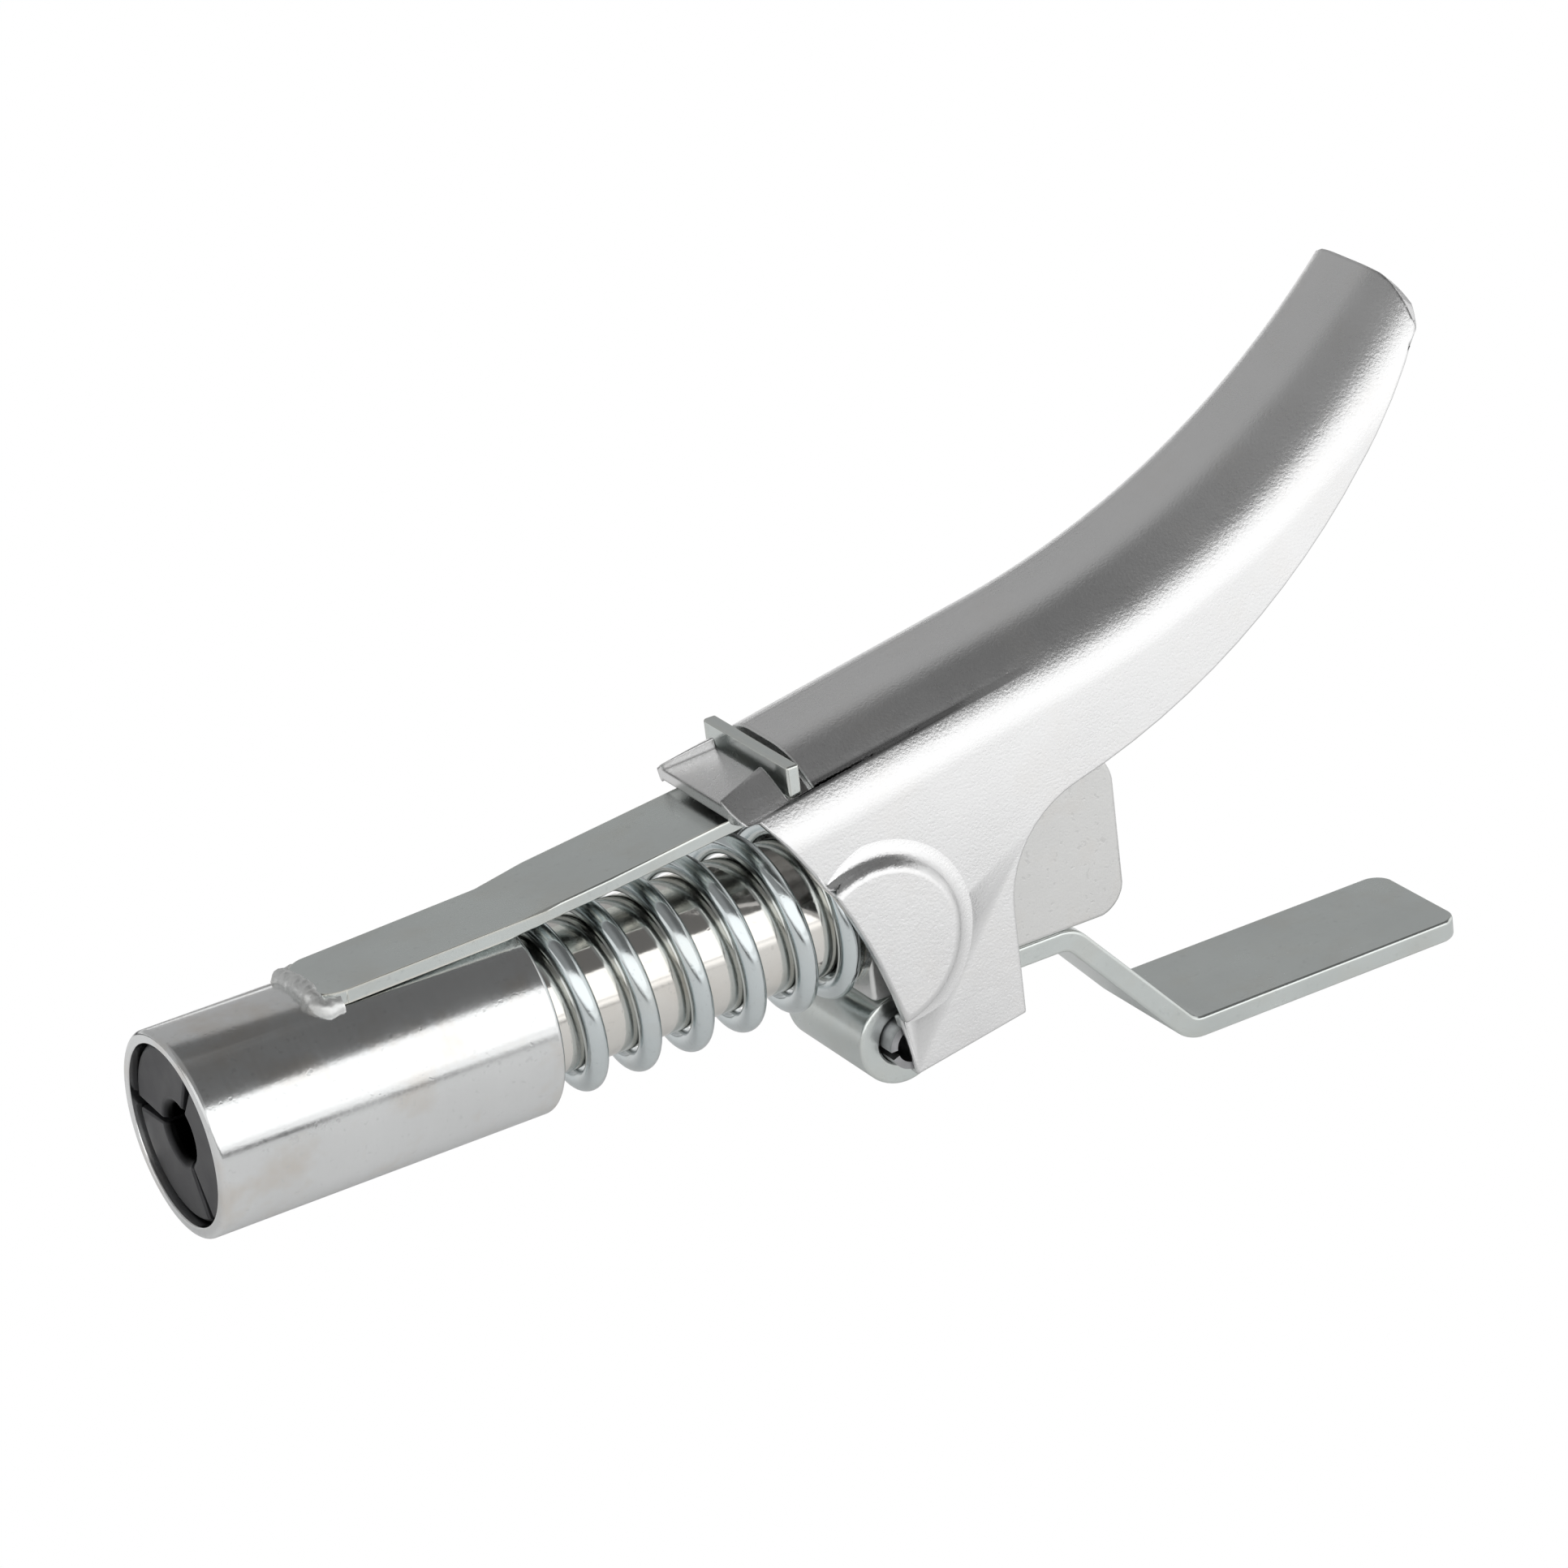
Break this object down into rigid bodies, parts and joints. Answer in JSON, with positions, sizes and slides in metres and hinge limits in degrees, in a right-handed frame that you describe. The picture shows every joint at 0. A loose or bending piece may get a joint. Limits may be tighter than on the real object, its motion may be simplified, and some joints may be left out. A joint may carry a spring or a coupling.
{
  "type": "grease coupler",
  "caption": "Locking grease coupler: squeezing a curved lever against a fixed handle draws back a sprung sleeve, so that the nozzle's jaws open over a grease fitting.",
  "frame": {"origin": "centre of the inlet thread's mouth, in the body block's rear face", "axes": "+X out of the inlet along the tool's axis, away from the nozzle; +Z towards the lever"},
  "size_m": [0.1509, 0.0242, 0.079],
  "materials": {
    "sleeve_zinc": "bright zinc plate, glossy",
    "strap_zinc": "zinc plate, smooth",
    "weld_metal": "plated weld bead",
    "jaw_black": "black oxide",
    "rubber_black": "matte",
    "stem_zinc": "zinc plate",
    "copper": "bare copper",
    "ball_steel": "polished",
    "spring_zinc": "bright zinc plate, bluish",
    "tube_zinc": "polished",
    "block_zinc": "matte, blasted",
    "handle_zinc": "zinc plate, smooth",
    "pin_dark": "dark spring steel",
    "lever_zinc": "satin zinc plate, fine grain"
  },
  "bodies": {
    "body": {"body_tube": "tube_zinc", "body_block": "block_zinc", "nozzle_tip": "stem_zinc", "nozzle_seal": "rubber_black", "tip_washer": "copper", "jaw_ring": "rubber_black", "spring_washer": "handle_zinc", "main_spring": "spring_zinc", "lower_handle": "handle_zinc", "handle_rivets": "handle_zinc", "pivot_pin": "pin_dark", "check_spring": "spring_zinc"},
    "lever": {"lever": "lever_zinc"},
    "sleeve": {"sleeve": "sleeve_zinc", "pull_strap": "strap_zinc", "strap_weld": "weld_metal"},
    "jaw_1": {"jaw_1": "jaw_black"},
    "jaw_2": {"jaw_2": "jaw_black"},
    "jaw_3": {"jaw_3": "jaw_black"},
    "check_ball": {"check_ball": "ball_steel"}
  },
  "joints": [
    {"name": "lever_squeeze", "type": "hinge", "parent": "body", "child": "lever", "pos_m": [-0.0288, 0, -0.01488], "axis": [0, 1, 0], "range_deg": [0, 12], "stiffness_Nm_per_rad": 2, "springref_deg": -8.59},
    {"name": "sleeve_slide", "type": "slide", "parent": "body", "child": "sleeve", "axis": [1, 0, 0], "range_m": [0, 0.0072], "deforming": ["main_spring"]},
    {"name": "jaw_1_spread", "type": "slide", "parent": "body", "child": "jaw_1", "axis": [0, 0.5, 0.866], "range_m": [0, 0.00062]},
    {"name": "jaw_2_spread", "type": "slide", "parent": "body", "child": "jaw_2", "axis": [0, -1, 0], "range_m": [0, 0.00062]},
    {"name": "jaw_3_spread", "type": "slide", "parent": "body", "child": "jaw_3", "axis": [0, 0.5, -0.866], "range_m": [0, 0.00062]},
    {"name": "check_ball_lift", "type": "slide", "parent": "body", "child": "check_ball", "axis": [-1, 0, 0], "range_m": [0, 0.0012], "stiffness_N_per_m": 150, "springref_m": -0.002, "deforming": ["check_spring"]}
  ],
  "couplings": [
    {"joint": "sleeve_slide", "follows": "lever_squeeze", "m_per_rad": 0.0342},
    {"joint": "jaw_1_spread", "follows": "lever_squeeze", "m_per_rad": 0.002865},
    {"joint": "jaw_2_spread", "follows": "lever_squeeze", "m_per_rad": 0.002865},
    {"joint": "jaw_3_spread", "follows": "lever_squeeze", "m_per_rad": 0.002865}
  ]
}
